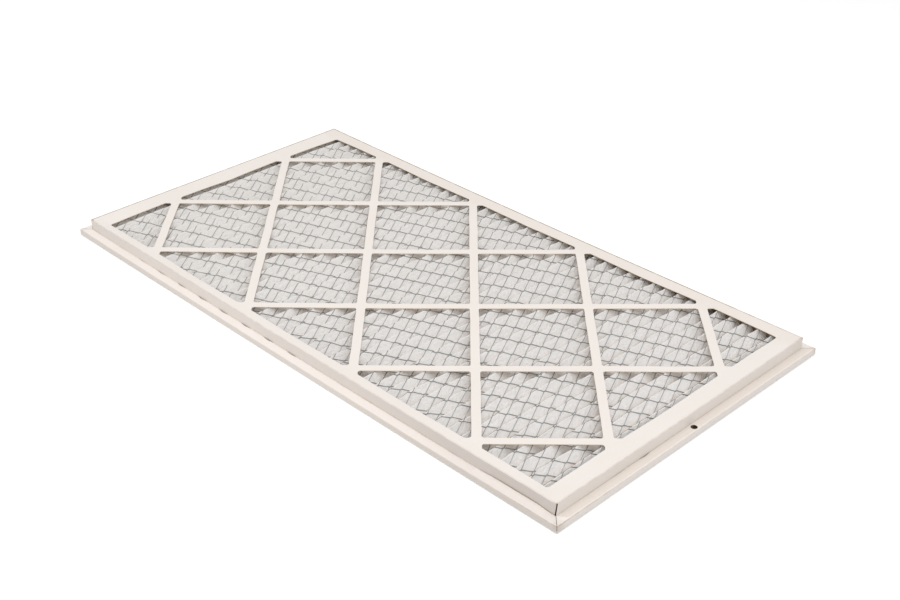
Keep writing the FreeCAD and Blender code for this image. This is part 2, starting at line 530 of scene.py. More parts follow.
def rounded(points, radius):
    # convex outline, counter-clockwise, moved out by the radius with round corners
    grown = []
    for before, here, after in zip(points[-1:] + points[:-1], points, points[1:] + points[:1]):
        arriving = math.atan2(here[1] - before[1], here[0] - before[0])
        turn = (math.atan2(after[1] - here[1], after[0] - here[0]) - arriving) % (2 * math.pi)
        steps = max(2, round(turn / lattice["arcStep"]))
        for n in range(steps + 1):
            angle = arriving - math.pi / 2 + turn * n / steps
            grown.append((here[0] + radius * math.cos(angle), here[1] + radius * math.sin(angle)))
    return grown


def spaced(points, spacing):
    # the same outline with more points
    dense = []
    for here, there in zip(points, points[1:] + points[:1]):
        count = max(1, round(math.dist(here, there) / spacing))
        dense += [tuple(h + (t - h) * n / count for h, t in zip(here, there)) for n in range(count)]
    return dense


def latticeOpenings(seed):
    rng = random.Random(seed)
    pitch = lattice["pitch"]
    cells = math.ceil((fieldX + fieldY) / pitch) + 1
    outlines = []
    for i in range(-cells, cells + 1):
        for j in range(-cells, cells + 1):
            radius = lattice["cornerRadius"] + rng.uniform(-1, 1) * lattice["radiusSpread"]
            x, y = (i + j) * pitch / 2, (i - j) * pitch / 2
            reach = pitch / 2 - lattice["strip"] / math.sqrt(2) - radius * math.sqrt(2)
            outside = max(0, abs(x) - fieldX + radius) + max(0, abs(y) - fieldY + radius)
            if reach - outside < lattice["smallestSide"]:
                continue
            cell = [(x + reach, y), (x, y + reach), (x - reach, y), (x, y - reach)]
            for axis, limit in ((0, fieldX - radius), (1, fieldY - radius)):
                cell = clipped(clipped(cell, axis, limit, 1), axis, limit, -1)
            outlines.append(spaced(rounded(cell, radius), lattice["pointSpacing"]))
    return outlines


def onBoard(x, y):
    # whether a grid point lies well inside a strip or a border
    pitch = lattice["pitch"]
    depth = min(fieldX - abs(x), fieldY - abs(y))
    i, j = round((x + y) / pitch), round((x - y) / pitch)
    dx, dy = x - (i + j) * pitch / 2, y - (i - j) * pitch / 2
    reach = pitch / 2 - lattice["strip"] / math.sqrt(2)
    return min(depth, (reach - abs(dx) - abs(dy)) / math.sqrt(2)) < -lattice["gridRoom"]


# How the finished filter has settled. The trays, the sheet and the net all follow it

settling = {
    "arch": 0.0005,  # both ends stand off the table
    "bow": 0.0009,  # the long sides bow towards -Y at mid-length
    "boxDrop": 0.001,  # the raised box is lower at mid-length
    "endDrop": 0.001,  # and in the middle of its +X wall
    "endDropFrom": 0.22,  # from here on
    "dish": 0.0017,  # the face lies below its folds
    "dishFrom": 0.0006,  # starting this far inside the wall
    "middleDish": 0.0009,  # and lower still in the middle
    "slackEnd": 0.0016,  # free edge of a short border, between two strips
    "slackSide": 0.001,  # the same on a long border
    "slackReach": (2, 2.5),  # how many borders wide it fades out, at the ends and along the sides
    "rimLift": 0.0005,  # the flange springs up towards both ends
}
outHalfX, outHalfY = flangeHigh.x, flangeHigh.y


def settled(co):
    ends = (co.x / outHalfX) ** 2
    z = co.z * (1 - settling["arch"] / faceHigh.z) + settling["arch"] * ends
    y = co.y * (1 - settling["bow"] / (2 * outHalfY)) + settling["bow"] * (ends - 0.5)
    return Vector((co.x, y, z))


def boxDrop(x, y):
    along = max(0.0, 1 - (x / boxHalfX) ** 2)
    across = max(0.0, 1 - (y / boxHalfY) ** 2)
    nearEnd = smoothStep(settling["endDropFrom"], boxHalfX, x)
    return settling["boxDrop"] * along + settling["endDrop"] * across * nearEnd


def fromWalls(x, y, start):
    # 0 at the walls of the box and 1 past its borders
    acrossEnd = smoothStep(start, lattice["endBorder"], boxHalfX - abs(x))
    return acrossEnd * smoothStep(start, lattice["sideBorder"], boxHalfY - abs(y))


def faceDip(x, y):
    # how far the face lies below its folds here
    ramp = fromWalls(x, y, settling["dishFrom"])
    middle = (1 - (x / boxHalfX) ** 2) * (1 - (y / boxHalfY) ** 2)
    a, b = (x + y) / lattice["pitch"], (x - y) / lattice["pitch"]
    between = (1 - 2 * abs(a - round(a))) * (1 - 2 * abs(b - round(b)))
    endBorder, sideBorder = lattice["endBorder"], lattice["sideBorder"]
    endReach, sideReach = settling["slackReach"]
    nearEnd = 1 - smoothStep(endBorder, endReach * endBorder, boxHalfX - abs(x))
    nearSide = 1 - smoothStep(sideBorder, sideReach * sideBorder, boxHalfY - abs(y))
    slack = between * max(settling["slackEnd"] * nearEnd, settling["slackSide"] * nearSide)
    return ramp * (settling["dish"] + settling["middleDish"] * middle + slack)


def moveAll(mesh, place):
    for vertex in mesh.vertices:
        vertex.co = settled(place(vertex.co))


# Face tray: lattice face and four walls folded down from it

faceTray = {
    "seed": 3,
    "crack": 0.0016,  # width of the band along a fold that holds its darker line: cracked coat, and on the far folds also painted shade
    "wallRows": 6,
    "slit": 0.0019,  # how far the wall ends stand back from a corner
    "slitShare": {(1, -1): 1.0, (1, 1): 0.45, (-1, -1): 0.3, (-1, 1): 0.5},
    "slitReach": (0.006, 0.003),
    "footShare": 0.05,  # a short wall stands back this much of it at the foot, a long wall at the fold
    "wander": 0.0005,  # how far the die-cut edges wander
    "wanderScale": 28,
    "wanderFrom": 0.02,  # in full this far inside the folds
    "ripple": 0.0002,
    "belly": 0.00025,  # the walls are hollow at half height
    "bellyScale": 12,
    "lean": 0.0018,  # the foot of the long wall leans in towards the open corner
    "leanFrom": (0.265, 0.3),
    "leanEnds": (0.338, 0.362),
    "leanLeft": 0.2,  # what is left of it at the corner
    "laidAlong": (0.0003, 0.0002, 0.0008),  # how far the lattice lies off: all over, towards +X, towards +Y
    "laidAcross": (-0.0009, 0.0011, -0.0004),
    "laidFrom": 0.002,
    "nearWear": 0.5,  # wear on the folds of the walls towards +X and -Y
    "farLine": 3.2,  # and on the other two, partly painted shade: where the bend starts, and further round
    "farBend": 1.3,
    "farFade": (0.24, 0.34),  # weaker towards +X
    "farLeft": 0.4,
    "cornerWear": 0.7,
    "aged": 0.33,  # painted shade on the border along +Y
    "agedFrom": (0.16, 0.176),
    "dull": 0.15,  # painted shade on the long wall, and more so in three places
    "dullMore": ((0.2, -0.1, 0.0), (0.6, 0.06, 0.3), (0.2, -0.22, -0.34)),  # share, from, to
    "shortSkin": 0.00015,  # the short wall's side gets no painted shade
}


def heightShare(z):
    # 0 at the flange, 1 at the face
    return min(1.0, max(0.0, (z - flangeHigh.z) / (faceHigh.z - flangeHigh.z)))


def wallRow(stations, half, sideOf, full, z, onLongWall):
    # one level of a wall: its ends stand back from the corners, the long wall's most at the foot
    row = [s * full / half for s in stations]
    least = faceTray["footShare"]
    lean = 1 - (1 - least) * heightShare(z) if onLongWall else least + (1 - least) * heightShare(z)
    for end in (0, -1):
        corner = math.copysign(1, row[end])
        share = faceTray["slitShare"][sideOf(corner)]
        pastFold = (full - half - faceTray["crack"]) / foldedBoard["fold"]
        row[end] -= corner * faceTray["slit"] * share * lean * min(1.0, max(0.0, pastFold))
    return row


def wallLean(x):
    ends = (1 - faceTray["leanLeft"]) * smoothStep(*faceTray["leanEnds"], x)
    return faceTray["lean"] * smoothStep(*faceTray["leanFrom"], x) * (1 - ends)


def slitShareAt(co):
    return faceTray["slitShare"][(math.copysign(1, co.x), math.copysign(1, co.y))]


def laidLattice(x, y):
    # shift of the die-cut lattice, which fades out over the borders
    shares = (1.0, x / outHalfX, y / outHalfY)
    shift = [sum(a * b for a, b in zip(shares, faceTray[key])) for key in ("laidAlong", "laidAcross")]
    return Vector((shift[0], shift[1], 0)) * fromWalls(x, y, faceTray["laidFrom"])


def makeFaceTray():
    fold, slack, crack = foldedBoard["fold"], foldedBoard["slack"], faceTray["crack"]
    top, low = faceHigh.z, faceLow.z
    halfX, halfY = boxHalfX - fold - crack, boxHalfY - fold - crack
    alongX, alongY, outline = panelStations(halfX, halfY)
    bm = bmesh.new()
    addFlat(bm, outline, latticeOpenings(faceTray["seed"]), top, lattice["gridSpacing"], onBoard)
    profile = [(0.0, top)]  # how far out and how high, from the flat face down to the foot
    profile += [(crack + fold * math.sin(a), top - fold + fold * math.cos(a)) for a in foldedBoard["bend"]]
    rows = faceTray["wallRows"]
    profile += [(crack + fold, top - fold - (top - fold - low) * n / rows) for n in range(1, rows + 1)]
    for side in (-1, 1):
        rowsX, rowsY = [], []
        for out, z in profile:
            alongRow = wallRow(alongX, halfX, lambda end: (end, side), halfX + out, z, True)
            acrossRow = wallRow(alongY, halfY, lambda end: (side, end), halfY + out, z, False)
            rowsX.append([(x, side * (halfY + out), z) for x in alongRow])
            rowsY.append([(side * (halfX + out), y, z) for y in acrossRow])
        addGrid(bm, rowsX)
        addGrid(bm, rowsY)
    for vertex in bm.verts:
        x, y, z = vertex.co
        inside = min(halfX - abs(x), halfY - abs(y))
        loose = smoothStep(0.0, faceTray["wanderFrom"], inside) if z > top - hair else 0.0
        scale = faceTray["wanderScale"]
        vertex.co.x += loose * faceTray["wander"] * softNoise(x, y, scale, 2.0)
        vertex.co.y += loose * faceTray["wander"] * softNoise(x, y, scale, 5.0)
        vertex.co.z -= loose * faceTray["ripple"] * (0.5 + 0.5 * softNoise(x, y, scale, 8.0))
        if z < top - fold:
            uneven = 0.6 + softNoise(x, y, faceTray["bellyScale"], 1.0)
            belly = math.sin(math.pi * (top - z) / (top - low)) * faceTray["belly"] * uneven
            if abs(x) > boxHalfX - hair:
                vertex.co.x -= math.copysign(belly, x)
            if abs(y) > boxHalfY - hair:
                vertex.co.y -= math.copysign(belly, y)
                vertex.co.y += wallLean(x) * (1 - heightShare(z)) if y < 0 else 0.0
    mesh = boardMesh(bm, "face_tray_board", top, 1)

    # wear on the folds, and painted shade along the far folds
    def foldWear(co):
        down = top - co.z
        out = max(abs(co.x) - halfX, abs(co.y) - halfY) - crack
        if out < -slack or down > fold - slack:
            return 0.0
        wear = faceTray["nearWear"]
        bent = down >= fold / 2
        if (co.y > halfY or co.x < -halfX) and (bent or out < slack / 2):
            fade = 1 - (1 - faceTray["farLeft"]) * smoothStep(*faceTray["farFade"], co.x)
            wear = faceTray["farBend" if bent else "farLine"] * fade
        nearCorner = smoothStep(*foldedBoard["cornerReach"], cornerDistance(co, boxHalfX, boxHalfY))
        return wear + faceTray["cornerWear"] * nearCorner

    def slitShade(co):
        return slitShareAt(co) * smoothStep(*faceTray["slitReach"], cornerDistance(co, boxHalfX, boxHalfY))

    def aged(co):
        return faceTray["aged"] * smoothStep(*faceTray["agedFrom"], co.y)

    def dull(co):
        # painted shade on the outside of the long wall towards -Y
        inward = wallLean(co.x) * (1 - heightShare(co.z)) + foldedBoard["skin"]
        if co.z > top - fold / 2 or co.y > inward - boxHalfY or co.x > boxHalfX - faceTray["shortSkin"]:
            return 0.0
        return faceTray["dull"] + stepsAlong(faceTray["dullMore"], co.x)

    pointValues(mesh, foldWear=foldWear, slitShade=slitShade, agedBoard=aged, dullBoard=dull)

    def place(co):
        drop = boxDrop(co.x, co.y) * heightShare(co.z)
        shift = Vector((0, 0, 0))
        if co.z > top - 1.5 * foldedBoard["thickness"]:
            drop += faceDip(co.x, co.y)
            shift = laidLattice(co.x, co.y)
        return co + shift - Vector((0, 0, drop))

    moveAll(mesh, place)
    pieceFrom(mesh, "faceTray", "face_tray", [upperBoard, cutEdge, boardBack])


makeFaceTray()
print("face tray made")


# Flange tray: back panel with the same lattice, lips folded up and flaps folded in

flangeTray = {
    "seed": 5,
    "seam": 0.0004,  # mitre seam between two flaps
    "seamStart": 0.0016,  # height at which the lips part
    "flapGap": 0.00006,  # free edge of a flap to the box wall
    "pull": 0.0012,  # how far it stands back between glue points
    "gluePitch": 0.0385,
    "gluePhase": -0.0283,
    "longLoose": (1.0, (-0.33, -0.14), 0.88, (0.0, 0.04)),  # how loose, from where; how held, from where
    "shortLoose": (0.8, (-0.12, -0.07), 1.0, (-0.06, -0.03)),
    "follow": 0.65,  # the free edge goes after the wall that leans in
    "followEnds": (0.364, 0.345),
    "holeRadius": 0.0033,
    "holeRoom": (0.005, 0.0045),  # inner points stay this far from its middle, in the panel and the flap
    "holeShade": 0.0045,
    "freeStation": 0.003,  # spacing of points along a free edge
    "holeGrid": 0.0016,  # inner points of the short flap with the hole
    "edgeRoom": 0.0005,  # and how far they stay from its edges
    "wedge": 0.76,  # slope of the paper end that covers the open corner
    "wave": 0.00012,
    "waveScale": 22,
    "foldWear": 0.3,
    "cornerWear": 0.7,
    "cornerScuff": 0.55,  # beside the folds
    "rubbed": 0.75,  # painted shadow along the long lip's lower fold, where it meets the table, towards -X
    "rubbedFrom": (-0.17, -0.21),
    "handled": 0.6,  # round the open corner
    "handledReach": (0.12, 0.02),
    "handledEnd": 0.15,  # and along the +X lip
    "lipAged": 0.53,  # beige tone and painted shade on the long lips, more so towards both ends
    "lipMore": ((0.15, -0.18, -0.28), (0.47, 0.05, 0.3)),  # share, from, to
    "flapAged": 0.9,
    "flapDull": (0.3, 0.15, 0.3),
    "lipDull": (0.5, 0.1, 0.34),
    "slitReach": (0.006, 0.002),
    "seamShade": 0.55,
    "seamReach": 0.001,
}
holeAt = ((flangeHigh.x + boxHalfX) / 2, 0.0)


def circleOutline(centre, radius, steps=36):
    turns = [2 * math.pi * n / steps for n in range(steps)]
    return [(centre[0] + radius * math.cos(a), centre[1] + radius * math.sin(a)) for a in turns]


def flapPull(along, looseness):
    wave = max(0.0, math.cos(2 * math.pi * (along - flangeTray["gluePhase"]) / flangeTray["gluePitch"]))
    share, start, held, end = looseness
    loose = share * smoothStep(*start, along) * (1 - held * smoothStep(*end, along))
    return flangeTray["pull"] * loose * wave ** 1.5


def flapFollows(x):
    return flangeTray["follow"] * wallLean(x) * smoothStep(*flangeTray["followEnds"], x)


def rightWay(outline):
    # the outline counter-clockwise
    around = sum(a[0] * b[1] - a[1] * b[0] for a, b in zip(outline, outline[1:] + outline[:1]))
    return outline if around > 0 else outline[::-1]


def makeFlangeTray():
    fold, slack, seamStart = foldedBoard["fold"], foldedBoard["slack"], flangeTray["seamStart"]
    top = flangeHigh.z
    halfX, halfY = outHalfX - fold, outHalfY - fold
    alongX, alongY, outline = panelStations(halfX, halfY)
    hole = circleOutline(holeAt, flangeTray["holeRadius"])
    panelRoom, flapRoom = flangeTray["holeRoom"]
    bm = bmesh.new()
    addFlat(bm, outline, latticeOpenings(flangeTray["seed"]) + [hole], 0.0, lattice["gridSpacing"],
            lambda x, y: onBoard(x, y) and math.dist((x, y), holeAt) > panelRoom)
    lower = [(fold * math.sin(a), fold - fold * math.cos(a)) for a in foldedBoard["bend"]]
    lower += [(fold, seamStart)]
    upper = [(fold, seamStart), (fold, top / 2), (fold, top - fold)]
    upper += [(fold * math.cos(a), top - fold + fold * math.sin(a)) for a in foldedBoard["bend"][1:]]
    cut = flangeTray["seam"] / math.sqrt(2)
    longLoose, shortLoose = flangeTray["longLoose"], flangeTray["shortLoose"]
    for side in (-1, 1):
        for profile, clear in ((lower, 0.0), (upper, cut)):
            rowsX, rowsY = [], []
            for out, z in profile:
                gap = clear if z > seamStart else 0.0
                rowsX.append([(x * (halfX + out - gap) / halfX, side * (halfY + out), z) for x in alongX])
                rowsY.append([(side * (halfX + out), y * (halfY + out - gap) / halfY, z) for y in alongY])
            addGrid(bm, rowsX)
            addGrid(bm, rowsY)
        mouthX, mouthY = boxHalfX + flangeTray["flapGap"], boxHalfY + flangeTray["flapGap"]
        foldX = [(x * (halfX - cut) / halfX, side * halfY) for x in alongX]
        freeX = [(x, side * (mouthY + flapPull(x, longLoose) - (flapFollows(x) if side < 0 else 0)))
                 for x in stationsAlong(mouthX - cut, flangeTray["freeStation"])]
        foldY = [(side * halfX, y * (halfY - cut) / halfY) for y in alongY]
        freeY = [(side * (mouthX + flapPull(y, shortLoose)), y)
                 for y in stationsAlong(mouthY - cut, flangeTray["freeStation"])]
        addFlat(bm, rightWay(foldX + freeX[::-1]), [], top)
        inner = (mouthX + flangeTray["edgeRoom"], halfX - flangeTray["edgeRoom"])
        addFlat(bm, rightWay(foldY + freeY[::-1]), [hole] if side > 0 else [], top, flangeTray["holeGrid"],
                lambda x, y: side > 0 and inner[0] < x < inner[1] and math.dist((x, y), holeAt) > flapRoom)
    mesh = boardMesh(bm, "flange_tray_board", 0.0, -1)

    def foldWear(co):
        near = min(abs(co.z - top), abs(co.z))
        beyond = max(abs(co.x) - halfX, abs(co.y) - halfY)
        nearCorner = smoothStep(*foldedBoard["cornerReach"], cornerDistance(co, outHalfX, outHalfY))
        if near <= 3 * hair or near >= fold - slack / 2 or beyond <= 0:
            return flangeTray["cornerScuff"] * nearCorner * (co.z > seamStart)
        # painted shadow along the long lip's foot, towards -X
        rubbed = smoothStep(*flangeTray["rubbedFrom"], co.x) if co.y < 0 and co.z < fold else 0.0
        toOpenCorner = math.hypot(outHalfX - co.x, outHalfY + co.y)
        handled = flangeTray["handled"] * smoothStep(*flangeTray["handledReach"], toOpenCorner)
        handled += flangeTray["handledEnd"] * (co.x > halfX)
        wear = flangeTray["foldWear"] + flangeTray["cornerWear"] * nearCorner
        return wear + flangeTray["rubbed"] * rubbed + handled

    def aged(co):
        # beige tone and painted shade on the long lips, and a darker beige on the short flap apart from the
        # paper end on it
        if co.z < top - hair:
            onLongLip = abs(co.y) > outHalfY - hair and co.z > fold
            return flangeTray["lipAged"] + stepsAlong(flangeTray["lipMore"], co.x) if onLongLip else 0.0
        onShortFlap = boxHalfX < co.x < halfX - slack and abs(co.y) < co.x - boxHalfX + boxHalfY
        underWedge = co.y + boxHalfY < flangeTray["wedge"] * (co.x - boxHalfX)
        return flangeTray["flapAged"] if onShortFlap and not underWedge else 0.0

    def slitShade(co):
        atCorner = smoothStep(*flangeTray["slitReach"], cornerDistance(co, outHalfX, outHalfY))
        offSeam = abs(outHalfX - abs(co.x) - outHalfY + abs(co.y))
        onSeam = offSeam < flangeTray["seamReach"] and co.z > seamStart
        atHole = float(math.dist((co.x, co.y), holeAt) < flangeTray["holeShade"])
        return max(atHole, slitShareAt(co) * max(atCorner, flangeTray["seamShade"] * onSeam))

    def dull(co):
        # painted shade on the flap and the lip towards -Y, up to the seam
        if co.y > -boxHalfY or co.x > outHalfX + co.y + outHalfY:
            return 0.0
        return stepsAlong([flangeTray["flapDull" if co.z > top - hair else "lipDull"]], co.x)

    pointValues(mesh, foldWear=foldWear, slitShade=slitShade, agedBoard=aged, dullBoard=dull)

    def place(co):
        lift = settling["rimLift"] * (co.x / outHalfX) ** 4
        share = max(0.0, (co.z - seamStart) / (top - seamStart))
        wave = flangeTray["wave"] * share * softNoise(co.x, co.y, flangeTray["waveScale"], 7.0)
        return Vector((co.x, co.y, co.z + lift * share + wave))

    moveAll(mesh, place)
    pieceFrom(mesh, "flangeTray", "flange_tray", [lowerBoard, cutEdge, boardBack])


makeFlangeTray()
print("flange tray made")


# Pleated sheet

pleats = {
    "pitch": 0.01674,
    "count": 43,
    "thickness": 0.0006,
    "flat": (0.3707, 1.56),  # the sheet unfolded
    "steps": (0.0, 0.06, 0.34, 0.66, 0.94, 1.0),  # stations down one slope
    "alongStep": 0.0036,
    "ridgeRound": 0.00025,
    "wander": 0.0004,  # a fold line wanders sideways
    "wanderScales": (30, 90),
    "valleyLift": 0.0003,
    "dip": 0.0004,  # a ridge dips between its glue points
    "dipScale": 40,
    "crumple": 0.00034,  # dents square to a slope
    "crumpleScales": (95, 210),
    "tipRoom": 0.0006,  # ridge to the underside of the face, for the net
    "bulge": 0.0011,  # a ridge stands higher inside an opening
    "bulgeRun": (0.003, 0.021),  # on this stretch of the way in
    "moreBulge": 0.0012,  # and more so from the middle to the +X end
    "moreFrom": (-0.05, 0.08),
    "halfFrom": (0.2, 0.28),  # where half of that is lost again
    "lean": 0.0012,  # the ridges lean towards +X
    "leanFrom": (-0.25, 0.05),
    "leanShare": 0.056,  # so the slopes that face +X take up less of the sheet
    "wallRoom": 0.02,  # the strip of sheet that gives way to a wall
    "deepFrom": (0.009, 0.002),  # heights at which the painted fold shade starts and is full
    # painted shade on the sheet: some all over, more towards -X and on the ridges
    "dust": 0.37,
    "dustSlope": 0.5,  # more towards -X
    "ridgeDust": 0.4,
    "ridgeFrom": (0.011, 0.017),
}
halfPitch = pleats["pitch"] / 2
packHalf = pleats["pitch"] * pleats["count"] / 2
slopeCosine = 0.5
for trial in range(30):  # the sheet's upright thickness and its slope settle together
    upright = pleats["thickness"] / slopeCosine
    rise = mediaHigh.z - mediaLow.z - upright
    slopeCosine = halfPitch / math.hypot(halfPitch, rise)
valleyTop = mediaLow.z + upright
slopeLength = math.hypot(halfPitch, rise)


def openingDepth(x, y):
    # way into an opening from the nearest strip or border
    shift = laidLattice(x, y)
    x, y = x - shift.x, y - shift.y
    a, b = (x + y) / lattice["pitch"], (x - y) / lattice["pitch"]
    across = min(0.5 - abs(a - round(a)), 0.5 - abs(b - round(b))) * lattice["pitch"] / math.sqrt(2)
    return max(0.0, min(across - lattice["strip"] / 2, fieldX - abs(x), fieldY - abs(y)))


def foldPoint(n, y):
    # a fold line of the sheet's upper side, valleys even and ridges odd; each has its own stretch of noise
    x = -packHalf + n * halfPitch
    inside = 0.0 if n in (0, 2 * pleats["count"]) else 1.0
    slow, quick = pleats["wanderScales"]
    sideways = softNoise(n * 0.37, y, slow, 4.0) + 0.6 * softNoise(n * 0.81, y, quick, 6.0)
    x += inside * pleats["wander"] * sideways
    if n % 2 == 0:
        lift = pleats["valleyLift"] * (0.5 + softNoise(n * 0.29, y, slow, 3.0))
        return Vector((x, y, valleyTop + inside * lift))
    x += pleats["lean"] * smoothStep(*pleats["leanFrom"], x)
    room = faceHigh.z - foldedBoard["thickness"] - boxDrop(x, y) - faceDip(x, y) - pleats["tipRoom"]
    more = smoothStep(*pleats["moreFrom"], x) * (1 - 0.5 * smoothStep(*pleats["halfFrom"], x))
    bulge = pleats["bulge"] + pleats["moreBulge"] * more
    room += bulge * smoothStep(*pleats["bulgeRun"], openingDepth(x, y))
    dip = pleats["dip"] * (0.5 + softNoise(n * 0.53, y, pleats["dipScale"], 9.0))
    return Vector((x, y, min(valleyTop + rise, room) - max(0.0, dip)))


def slopeRun(n):
    # where fold n lies along the sheet, and how much of the sheet the slope after it takes up
    facesBack = n % 2 == 0
    leanPart = slopeLength * pleats["leanShare"]
    start = n * slopeLength + (0.0 if facesBack else leanPart)
    return start, slopeLength + (leanPart if facesBack else -leanPart)


def pushedIn(co):
    # the long wall leans in near the open corner, and the sheet's edge gives way to it
    nearWall = smoothStep(mediaHigh.y - pleats["wallRoom"], mediaHigh.y, -co.y)
    return settled(co + Vector((0, wallLean(co.x) * nearWall, 0)))


def squareTo(low, high):
    # direction square to the slope between two folds
    return Vector((low.z - high.z, 0, high.x - low.x)).normalized()


def sheetPoint(n, share, y):
    # a point of the upper side: share 0 at fold n, 1 at the next fold
    low, high = foldPoint(n, y), foldPoint(n + 1, y)
    start, length = slopeRun(n)
    run = start + share * length
    free = math.sin(math.pi * share) ** 0.6  # the folds hold it
    large, small = pleats["crumpleScales"]
    dent = softNoise(run, y, large, 12.0) + 0.8 * abs(softNoise(run, y, small, 15.0)) - 0.25
    return low.lerp(high, share) + squareTo(low, high) * pleats["crumple"] * free * dent


def makeMedia():
    halfY = mediaHigh.y
    rowsAcross = round(2 * halfY / pleats["alongStep"])
    ys = [-halfY + 2 * halfY * k / rowsAcross for k in range(rowsAcross + 1)]
    tabTop = mediaLow.z + pleats["thickness"]
    rows = [[Vector((mediaLow.x, y, tabTop)) for y in ys]]
    for n in range(2 * pleats["count"]):
        for share in pleats["steps"][:-1]:
            row = [sheetPoint(n, share, y) for y in ys]
            if share == 0.0 and n % 2:
                row = [p - Vector((0, 0, pleats["ridgeRound"])) for p in row]
            rows.append(row)
    rows.append([foldPoint(2 * pleats["count"], y) for y in ys])
    rows.append([Vector((mediaHigh.x, y, tabTop)) for y in ys])
    bm = bmesh.new()
    addGrid(bm, [[pushedIn(p) for p in row] for row in rows])
    bmesh.ops.recalc_face_normals(bm, faces=bm.faces)
    if sum(f.normal.z for f in bm.faces) < 0:
        bmesh.ops.reverse_faces(bm, faces=bm.faces)
    mesh = meshFrom(bm, "pleated_sheet")

    def depth(co):
        return smoothStep(*pleats["deepFrom"], co.z)

    # painted shade, from place and height
    def dust(co):
        onRidge = smoothStep(*pleats["ridgeFrom"], co.z)
        return pleats["dust"] - pleats["dustSlope"] * co.x / outHalfX + pleats["ridgeDust"] * onRidge

    pointValues(mesh, foldDepth=depth, dust=dust)
    mesh.shade_smooth()
    piece = pieceFrom(mesh, "pleatedMedia", "pleated_media", [nonwoven])
    solid = piece.modifiers.new("sheet", "SOLIDIFY")
    solid.thickness = pleats["thickness"]
    solid.offset = -1


makeMedia()
print("pleated sheet made")


# Wire net: strands in two directions, laid on the flat sheet and folded with it, joined where they meet

wireNet = {
    "longWay": 0.0266,  # diamond along the pleats
    "shortWay": 0.016,  # diamond across the pleats, on the flat sheet
    "width": 0.00095,
    "height": 0.0005,
    "lift": 0.0001,
    "sunk": 0.2,  # the part of the height that lies below
    "margin": 0.005,
    "bondRun": 0.0004,  # half a bond, along the sheet
    "bondGain": 0.0008,  # how far a strand gets ahead of its straight line at a bond
    "wiggle": 0.0003,
    "wiggleScale": 130,
    "laidAcross": (-0.0068, -0.0034),  # how far the net lies off the middle, all over and near one place
    "laidMiddle": (0.05, 0.13),  # that place in x, and how wide it is
    "laidAlong": (0.004, 0.0006),  # the same along the sheet, towards -X and towards +X
    "laidStep": (-0.15, 0.06),
    "knot": (0.0024, 0.0013, 0.0006),  # length, width, height
    "knotLift": 0.0002,
    "dust": 0.42,
    "dustFrom": (0.15, -0.3),
}
netSlope = wireNet["longWay"] / wireNet["shortWay"]
sheetRun = 2 * pleats["count"] * slopeLength
netLimit = mediaHigh.y - wireNet["margin"]


def strandOffsets():
    # y at which the strands cross the middle of the sheet
    count = int((mediaHigh.y + netSlope * sheetRun / 2) / wireNet["longWay"]) + 2
    return [n * wireNet["longWay"] for n in range(-count, count + 1)]


def laidOff(run):
    x = run / slopeLength * halfPitch
    allOver, more = wireNet["laidAcross"]
    middle, spread = wireNet["laidMiddle"]
    left, right = wireNet["laidAlong"]
    along = left + (right - left) * smoothStep(*wireNet["laidStep"], x)
    return along, allOver + more * math.exp(-((x - middle) / spread) ** 2)


def bondJog(way):
    # the strands run side by side at a bond, and slacken off on the way to the next
    half = wireNet["shortWay"] / 2
    edge = wireNet["bondRun"] / half
    off = (way / half + 0.5) % 1 - 0.5
    if abs(off) < edge:
        return wireNet["bondGain"] * off / edge
    return wireNet["bondGain"] * math.copysign((0.5 - abs(off)) / (0.5 - edge), off)


def strandStations():
    # where a strand gets a section: on each fold, and before and after each bond
    stations = [(slopeRun(n)[0] - sheetRun / 2, True) for n in range(2 * pleats["count"])]
    half = wireNet["shortWay"] / 2
    count = int(sheetRun / 2 / half)
    for k in range(-count, count + 1):
        for side in (-1, 1):
            way = k * half + side * wireNet["bondRun"]
            run = way + laidOff(way)[0]
            if abs(run) < sheetRun / 2:
                stations.append((run, False))
    return sorted(stations)


def onSheet(run, y):
    # the point of the sheet at this way along it, the direction square to its slope, and down the slope
    way = min(max(run + sheetRun / 2, 0.0), sheetRun - 1e-9)
    n = int(way / slopeLength)
    n -= 1 if way < slopeRun(n)[0] else 0
    start, length = slopeRun(n)
    low, high = foldPoint(n, y), foldPoint(n + 1, y)
    return sheetPoint(n, (way - start) / length, y), squareTo(low, high), (high - low).normalized()


def addBar(bm, sections):
    rings = [[bm.verts.new(pushedIn(p)) for p in section] for section in sections]
    for here, there in zip(rings, rings[1:]):
        for k in range(4):
            n = (k + 1) % 4
            bm.faces.new((here[k], here[n], there[n], there[k]))
    bm.faces.new(rings[0][::-1])
    bm.faces.new(rings[-1])


def strandSection(run, y, turn, atFold):
    point, square, down = onSheet(run, y)
    along = (down + Vector((0, turn * netSlope, 0))).normalized()
    up = Vector((0, 0, 1)) if atFold else square
    across = along.cross(square).normalized() * wireNet["width"] / 2
    foot = point + up * wireNet["lift"]
    top, under = foot + up * wireNet["height"], foot - up * wireNet["height"] * wireNet["sunk"]
    return [foot - across, top, foot + across, under]


def addStrands(bm, turn, offset, stations):
    sections = []
    for run, atFold in stations:
        along, across = laidOff(run)
        y = offset + turn * (netSlope * (run - along) + bondJog(run - along)) + across
        if abs(y) < netLimit:
            y += wireNet["wiggle"] * softNoise(run, offset, wireNet["wiggleScale"], 20.0 + turn)
            sections.append(strandSection(run, y, turn, atFold))
    if len(sections) > 1:
        addBar(bm, sections)


def addKnot(bm, run, y):
    # a blunt lump with eight facets
    point, square, down = onSheet(run, y)
    centre = point + square * wireNet["knotLift"]
    length, width, height = wireNet["knot"]
    ways = [Vector((0, length / 2, 0)), down * width / 2, square * height]
    ends = [[bm.verts.new(pushedIn(centre + way * side)) for side in (-1, 1)] for way in ways]
    for a in ends[0]:
        for b in ends[1]:
            for c in ends[2]:
                bm.faces.new((a, b, c))


